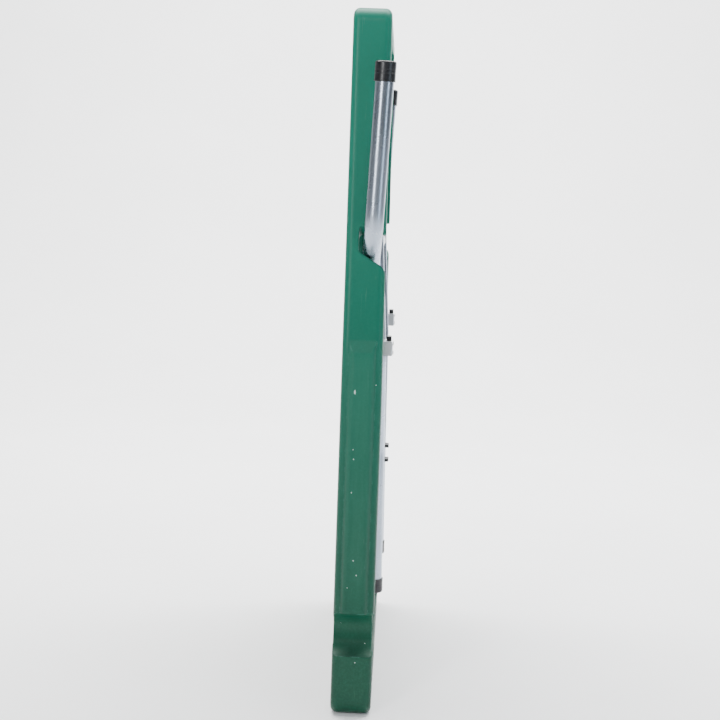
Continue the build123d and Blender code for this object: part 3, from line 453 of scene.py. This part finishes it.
def nylon_material():
    """Off-white turned nylon: fine turning lines round the axle, slightly waxy."""
    material, w, shader = new_material("white_turned_nylon")
    where = w.place()
    rings = w.noise(w.stretched(where, (0.05, 1.0, 0.05)), 1500.0, 3.0)
    grime = w.ramp(w.noise(where, 90.0, 4.0), 0.45, 0.75)
    base = w.mix(w.math("MULTIPLY", grime, 0.35), (0.78, 0.77, 0.72, 1), (0.42, 0.40, 0.36, 1))
    w.join(base, shader.inputs["Base Color"])
    w.join(w.ramp(rings, 0.3, 0.7, 0.38, 0.55), shader.inputs["Roughness"])
    shader.inputs["Subsurface Weight"].default_value = 0.15
    shader.inputs["Subsurface Radius"].default_value = (0.002, 0.0018, 0.0015)
    bump(w, shader, rings, 0.3, 0.0001)
    return material


FINISHES = {
    "green_deck": green_deck_material(),
    "leg_tube": metal_material("satin_leg_tube", (0.36, 0.41, 0.48), (0.22, 0.25, 0.30), 0.24, 0.33),
    "rail_metal": metal_material("rail_aluminium", (0.62, 0.64, 0.67), (0.40, 0.42, 0.44), 0.30, 0.42),
    "block_metal": metal_material("cast_block", (0.83, 0.84, 0.86), (0.60, 0.61, 0.62), 0.26, 0.38,
                                  fineness=500.0, scratches=0.3, streaks=0.12),
    "zinc_steel": metal_material("zinc_plated_steel", (0.62, 0.61, 0.57), (0.36, 0.36, 0.36), 0.28, 0.42,
                                 fineness=700.0, scratches=0.4, streaks=0.25),
    "black_rubber": rubber_material("black_rubber", (0.0035, 0.0042, 0.0060), 0.34),
    "black_plastic": rubber_material("black_plastic", (0.006, 0.0065, 0.008), 0.45, 1800.0),
    "white_nylon": nylon_material(),
}


def dress_nodes():
    """Gives every part of the frame the finish that the record names for it."""
    finish_of = {entry["node"]: entry["material_slot"] for entry in frame["record"]["subparts"]}
    for name, obj in frame["nodes"].items():
        obj.data.materials.clear()
        obj.data.materials.append(FINISHES[finish_of[name]])


# ================================================================ stage
def stage_floor():
    """Plain pale floor and a backdrop that curves up behind, as one swept sheet.

    Across Y and Z the sheet runs flat, then along a quarter circle
    (depth - bend + bend*sin(t), bend - bend*cos(t)), then straight up.
    """
    half, depth, rise, bend = 20.0, 5.6, 6.0, 3.0
    t = np.linspace(0.0, math.pi / 2, 17)
    y = np.concatenate([[-half], depth - bend + bend * np.sin(t), [depth]])
    z = np.concatenate([[0.0], bend - bend * np.cos(t), [rise]])
    grid = np.stack(np.broadcast_arrays(np.array([[-half], [half]]), y, z), axis=-1)
    near = np.arange(len(y))
    faces = np.stack([near[:-1], near[:-1] + len(y), near[1:] + len(y), near[1:]], axis=-1)
    mesh = bpy.data.meshes.new("floor")
    mesh.from_pydata(grid.reshape(-1, 3).tolist(), [], faces.tolist())
    mesh.shade_smooth()
    floor = bpy.data.objects.new("floor", mesh)
    bpy.context.scene.collection.objects.link(floor)
    material, w, shader = new_material("pale_floor")
    tone = w.ramp(w.noise(w.place(), 1.5, 3.0), 0.3, 0.7)
    w.join(w.mix(tone, (0.90, 0.90, 0.90, 1), (0.93, 0.93, 0.93, 1)), shader.inputs["Base Color"])
    shader.inputs["Roughness"].default_value = 0.8
    mesh.materials.append(material)


def area_light(name, place, target, size, power, colour=(1.0, 1.0, 1.0)):
    """Soft oblong lamp at a place, turned to a target; size is its width and height."""
    data = bpy.data.lights.new(name, "AREA")
    data.shape = "RECTANGLE"
    data.size, data.size_y = size
    data.energy = power
    data.color = colour
    lamp = bpy.data.objects.new(name, data)
    bpy.context.scene.collection.objects.link(lamp)
    lamp.location = place
    aim = Vector(target) - Vector(place)
    lamp.rotation_mode = "QUATERNION"
    lamp.rotation_quaternion = aim.to_track_quat("-Z", "Y")


def stage_lights():
    """Dim surroundings, a bright backdrop, soft light from above and two tall side lamps."""
    world = bpy.data.worlds.new("soft_grey")
    bpy.context.scene.world = world
    world.use_nodes = True
    background = world.node_tree.nodes["Background"]
    background.inputs[0].default_value = (0.93, 0.96, 1.0, 1.0)
    background.inputs[1].default_value = 0.26
    middle = (0.0, 0.0, 0.7)
    area_light("backdrop_lamp", (0.0, 1.2, 4.6), (0.0, 5.2, 0.9), (6.0, 1.6), 900.0)
    area_light("overhead", (0.0, 0.5, 4.2), (0.0, 0.9, 0.0), (4.0, 3.0), 290.0)
    area_light("tall_right", (2.3, -2.0, 1.3), middle, (0.4, 2.6), 22.0, (0.70, 0.86, 1.0))
    area_light("tall_left", (-1.5, -3.0, 1.5), middle, (0.55, 2.2), 62.0)
    area_light("front_high", (-0.07, -3.2, 2.70), (0.0, -0.38, 0.73), (1.2, 0.8), 12.0)
    area_light("behind_right", (2.2, 2.2, 1.6), middle, (0.5, 2.0), 10.0, (0.70, 0.88, 1.0))


def place_camera():
    """Camera facing the table's side wall, turned by yaw, pitch and roll in that order."""
    data = bpy.data.cameras.new("camera")
    data.sensor_width = 36.0
    data.lens = CAMERA_LENS
    data.shift_y = CAMERA_SHIFT
    camera = bpy.data.objects.new("camera", data)
    bpy.context.scene.collection.objects.link(camera)
    yaw, pitch, roll = (math.radians(a) for a in (CAMERA_YAW, CAMERA_PITCH, CAMERA_ROLL))
    turn = (Matrix.Rotation(yaw, 4, "Z") @ Matrix.Rotation(math.pi / 2 - pitch, 4, "X")
            @ Matrix.Rotation(roll, 4, "Z"))
    camera.matrix_world = Matrix.Translation(CAMERA_PLACE) @ turn
    bpy.context.scene.camera = camera


# ================================================================ surfaces
def grid_object(name, rings, body, slot_name, replaced=(), around=False):
    """Closed smooth mesh from rings of points; the last ring meets the first when around is set."""
    points = np.arange(rings.shape[0] * rings.shape[1]).reshape(rings.shape[:2])
    below = points if around else points[:-1]
    above = np.roll(points, -1, axis=0) if around else points[1:]
    quads = np.stack([below, np.roll(below, -1, axis=1), np.roll(above, -1, axis=1), above], axis=-1)
    faces = quads.reshape(-1, 4).tolist()
    if not around:
        faces += [points[0, ::-1].tolist(), points[-1].tolist()]
    mesh = bpy.data.meshes.new(name)
    mesh.from_pydata(rings.reshape(-1, 3).tolist(), [], faces)
    mesh.shade_smooth()
    mesh.materials.append(FINISHES[slot_name])
    piece = bpy.data.objects.new(name, mesh)
    bpy.context.scene.collection.objects.link(piece)
    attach(piece, body)
    if replaced:
        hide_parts(*replaced)
    return piece


def unit(vectors):
    """Each vector at length 1."""
    return vectors / np.linalg.norm(vectors, axis=-1, keepdims=True)


def carried_frames(path):
    """Two normals of a path, carried along it without twist."""
    tangents = unit(np.gradient(path, axis=0))
    normal = np.cross(tangents[0], (0.0, 1.0, 0.0))
    normals = []
    for tangent in tangents:
        normal = unit(normal - tangent * normal.dot(tangent))
        normals.append(normal)
    normals = np.array(normals)
    return normals, np.cross(tangents, normals)


def bent_path(corners, bend, straight_step=0.02, arc_steps=14):
    """Centre line of a bent tube: straight runs joined by arcs of one radius, and how bent each point is.

    An arc between unit runs u and v turns by t = acos(u.v); it starts bend*tan(t/2) before the corner and
    its points are start + bend*(sin(a) u + (1 - cos(a)) n) with n in the bend's plane, square to u.
    Bentness is sin(pi s) along the arc, full where the arc turns by 0.7 radians or more.
    """
    corners = np.array(corners)
    line, bentness = [corners[:1]], [np.zeros(1)]

    def go_to(target):
        start = line[-1][-1]
        count = max(1, int(np.linalg.norm(target - start) / straight_step))
        share = np.arange(1, count + 1) / count
        line.append(start + share[:, None] * (target - start))
        bentness.append(np.zeros(count))

    share = np.arange(1, arc_steps + 1) / arc_steps
    for before, corner, after in zip(corners, corners[1:], corners[2:]):
        u, v = unit(corner - before), unit(after - corner)
        turn = math.acos(u.dot(v))
        inward = unit(v - u * u.dot(v))
        start = corner - u * bend * math.tan(turn / 2)
        go_to(start)
        a = turn * share[:, None]
        line.append(start + bend * (np.sin(a) * u + (1 - np.cos(a)) * inward))
        bentness.append(np.sin(math.pi * share) * min(1.0, turn / 0.7))
    go_to(corners[-1])
    return np.concatenate(line), np.concatenate(bentness)


def bent_tube(name, corners, radius, body, slot_name, replaced):
    """Tube swept along a bent path, a little flattened where it bends.

    Ring at s: c(s) + r*(1 + 0.010 b) cos(a) N + r*(1 - 0.035 b) sin(a) B, with b the bentness.
    """
    path, bentness = bent_path(corners, BEND)
    normals, binormals = carried_frames(path)
    angles = np.linspace(0.0, 2 * math.pi, 56, endpoint=False)
    wide = radius * (1 + 0.010 * bentness)[:, None, None]
    narrow = radius * (1 - 0.035 * bentness)[:, None, None]
    rings = (path[:, None, :] + wide * np.cos(angles)[None, :, None] * normals[:, None, :]
             + narrow * np.sin(angles)[None, :, None] * binormals[:, None, :])
    return grid_object(name, rings, body, slot_name, (replaced,))


def turned(name, profile, start, axis, body, slot_name, replaced):
    """Surface of revolution about an axis: a point is start + s(t)*T + r(t)*(cos(a) N + sin(a) B)."""
    tangent = unit(np.array(axis))
    normal = unit(np.cross(tangent, (0.31, 0.95, 0.05)))
    binormal = np.cross(tangent, normal)
    angles = np.linspace(0.0, 2 * math.pi, 64, endpoint=False)
    around = np.cos(angles)[:, None] * normal + np.sin(angles)[:, None] * binormal
    s, r = profile.T[:, :, None, None]
    rings = np.array(start) + s * tangent + r * around
    return grid_object(name, rings, body, slot_name, (replaced,))


def quarter_round(radius, steps, start=0.0):
    """Quarter circle as (1 - cos(t), sin(t)) times its radius, from the start angle to a right angle."""
    t = np.linspace(start, math.pi / 2, steps)
    return radius * np.stack([1 - np.cos(t), np.sin(t)], axis=1)


def cap_profile(radius, length, tube_radius):
    """Closed rubber cap: domed end with a ring foot, two soft grooves and a rolled mouth.

    r(s) = R - 0.4 mm * sum(exp(-((s - s_i)/1.1 mm)^2)) + 0.5 mm * exp(-((s - L)/2.2 mm)^2).
    """
    foot = [(0.0010, 0.0006), (0.0009, 0.30 * radius), (0.0008, 0.52 * radius), (0.0, 0.60 * radius),
            (-0.0002, 0.68 * radius)]
    shoulder = quarter_round(CAP_ROUND, 10) + (0.0, radius - CAP_ROUND)
    s = np.linspace(CAP_ROUND + 0.0006, length - CAP_LIP, 46)
    dips = np.exp(-((s[:, None] - np.array(CAP_GROOVES) * length) / 0.0011) ** 2).sum(axis=1)
    rim = np.exp(-((s - length) / 0.0022) ** 2)
    side = np.stack([s, radius - 0.0004 * dips + 0.0005 * rim], axis=1)
    t = np.linspace(0.15, math.pi / 2, 6)
    lip = np.stack([length - CAP_LIP + CAP_LIP * np.sin(t), radius - 0.0007 + CAP_LIP * np.cos(t)], axis=1)
    mouth = [(length, tube_radius + 0.0004), (length - 0.0006, tube_radius - 0.0002),
             (length - 0.0030, tube_radius - 0.0006)]
    return np.concatenate([foot, shoulder, side, lip, mouth])


def weld_bead(name, centre, direction, tube_radius, leg_axis, leg_radius, body):
    """Rippled bead where a cross tube meets a leg tube.

    Its middle line is the saddle x = r cos(a), z = r sin(a), y = d*(Y - sqrt(R^2 - (x - X)^2)) about the
    cross tube's centre, with X and Y the leg's own; its radius is B * (1 + 0.16 sin(34 a) + 0.05 sin(5 a)).
    The leg's axis is given as its X and Y at the centre's height, and its lean.
    """
    angles = np.linspace(0.0, 2 * math.pi, 204, endpoint=False)
    x = centre[0] + tube_radius * np.cos(angles)
    z = centre[1] + tube_radius * np.sin(angles)
    leg_x = leg_axis[0] + leg_axis[2] * (z - centre[1])
    reach = np.sqrt(np.maximum(leg_radius ** 2 - (x - leg_x) ** 2, 1e-9))
    y = direction * (leg_axis[1] - reach)
    line = np.stack([x, y, z], axis=1)
    tangents = unit(np.roll(line, -1, axis=0) - np.roll(line, 1, axis=0))
    away = np.stack([np.cos(angles), np.zeros_like(angles), np.sin(angles)], axis=1)
    away = unit(away - tangents * np.sum(away * tangents, axis=1)[:, None])
    other = np.cross(tangents, away)
    radius = BEAD_RADIUS * (1 + 0.16 * np.sin(34 * angles) + 0.05 * np.sin(5 * angles))
    small = np.linspace(0.0, 2 * math.pi, 10, endpoint=False)
    rings = (line[:, None, :] + radius[:, None, None] * (
        np.cos(small)[None, :, None] * away[:, None, :] + np.sin(small)[None, :, None] * other[:, None, :]))
    return grid_object(name, rings, body, "zinc_steel", around=True)


def soft_block(name, low, high, body, slot_name, replaced):
    """Rounded block: a superellipsoid, x = a*sgn(c)|c|^e with c the sphere's own coordinate and e = 0.22."""
    low, high = np.array(low), np.array(high)
    middle, half = (low + high) / 2, (high - low) / 2
    lat = np.linspace(-math.pi / 2 + 0.02, math.pi / 2 - 0.02, 33)[:, None]
    lon = np.linspace(0.0, 2 * math.pi, 64, endpoint=False)
    sphere = np.stack(np.broadcast_arrays(np.cos(lat) * np.cos(lon), np.cos(lat) * np.sin(lon), np.sin(lat)),
                      axis=-1)
    rings = middle + half * np.sign(sphere) * np.abs(sphere) ** 0.22
    return grid_object(name, rings, body, slot_name, (replaced,))


# ================================================================ pieces
def outer_x(z):
    """X of an outer leg's lower run at a height."""
    return PIVOT[0] + OUTER_LEAN * (z - PIVOT[1])


def inner_x(z):
    """X of an inner leg's upper run at a height."""
    return CROSSING[0] - INNER_LEAN * (z - CROSSING[1])


def foot_x(z):
    """X of an inner leg's foot run at a height."""
    return INNER_END[0] + FOOT_LEAN * (z - INNER_END[2])


def outer_corners(side):
    """Corners of an outer leg's centre line, hinge end first."""
    tail = PIVOT[1] - OUTER_TAIL
    corners = [(outer_x(tail), OUTER_Y, tail), *OUTER_STEP, OUTER_END]
    return [(x, side * y, z) for x, y, z in corners]


def inner_corners(side):
    """Corners of an inner leg's centre line, roller end first."""
    tail = ROLLER_Z + INNER_TAIL
    corners = [(inner_x(tail), INNER_Y, tail), (inner_x(SLANT_TOP), INNER_Y, SLANT_TOP),
               (SLANT_END_X, FOOT_Y, SLANT_END_Z), INNER_END]
    return [(x, side * y, z) for x, y, z in corners]


def legs_and_caps():
    """Smooth bent tubes and turned rubber caps in place of the plain ones."""
    for label, side in SIDES.items():
        for part, corners, radius, wall, length in (
                ("outer", outer_corners(side), OUTER_RADIUS, OUTER_CAP_WALL, OUTER_CAP_LENGTH),
                ("inner", inner_corners(side), INNER_RADIUS, INNER_CAP_WALL, INNER_CAP_LENGTH)):
            body = f"{part}_legs"
            bent_tube(f"{part}_tube_{label}", corners, radius, body, "leg_tube", f"{part}_leg_{label}")
            before, end = np.array(corners[-2:])
            run = unit(end - before)
            turned(f"{part}_cap_{label}", cap_profile(radius + wall, length, radius), end + run * CAP_BASE,
                   -run, body, "black_rubber", f"{part}_foot_cap_{label}")


def weld_beads():
    """Beads at both ends of the four cross tubes."""
    for node, tube_radius, leg_radius, leg_x, leg_y, lean, body in (
            ("outer_pivot_tube", PIVOT_TUBE_RADIUS, OUTER_RADIUS, outer_x, OUTER_Y, OUTER_LEAN, "outer_legs"),
            ("outer_brace", BRACE_RADIUS, OUTER_RADIUS, outer_x, OUTER_Y, OUTER_LEAN, "outer_legs"),
            ("inner_top_tube", PIVOT_TUBE_RADIUS, INNER_RADIUS, inner_x, INNER_Y, -INNER_LEAN, "inner_legs"),
            ("inner_foot_tube", BRACE_RADIUS, INNER_RADIUS, foot_x, FOOT_Y, FOOT_LEAN, "inner_legs")):
        low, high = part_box(node)
        centre = ((low.x + high.x) / 2, (low.z + high.z) / 2)
        axis = (leg_x(centre[1]), leg_y, lean)
        for label, side in SIDES.items():
            weld_bead(f"{node}_bead_{label}", centre, side, tube_radius, axis, leg_radius, body)


def roller_profile(radius, width, bore):
    """Wheel from face to face: shallow ring groove in each face, rounded edges and a crowned tread.

    r(s) = R - 0.3 mm * (2 s / w - 1)^2, less the edge rounding.
    """
    face = [(0.0, bore), (0.0, 0.52 * radius), (0.0008, 0.58 * radius), (0.0008, 0.72 * radius),
            (0.0, 0.78 * radius)]
    corner = quarter_round(WHEEL_ROUND, 7) + (0.0, radius - WHEEL_CROWN - WHEEL_ROUND)
    half = np.concatenate([face, corner])
    s = np.linspace(WHEEL_ROUND, width - WHEEL_ROUND, 15)[1:-1]
    tread = np.stack([s, radius - WHEEL_CROWN * (2 * s / width - 1) ** 2], axis=1)
    return np.concatenate([half, tread, (width, 0.0) + half[::-1] * (-1.0, 1.0)])


def rollers():
    """Turned wheels with crowned treads in place of the plain ones."""
    for label in SIDES:
        node = f"roller_{label}"
        low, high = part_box(node)
        middle = ((low.x + high.x) / 2, low.y, (low.z + high.z) / 2)
        profile = roller_profile((high.z - low.z) / 2, high.y - low.y, WHEEL_BORE)
        turned(f"{node}_wheel", profile, middle, (0.0, 1.0, 0.0), node, "white_nylon", node)


def bumpers():
    """Soft-cornered rubber bumpers on the crossing blocks."""
    for label in SIDES:
        node = f"crossing_bumper_{label}"
        low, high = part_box(node)
        soft_block(f"bumper_{label}", low, high, "outer_legs", "black_rubber", node)


legs_and_caps()
weld_beads()
rollers()
bumpers()
dress_nodes()
stage_floor()
stage_lights()
place_camera()
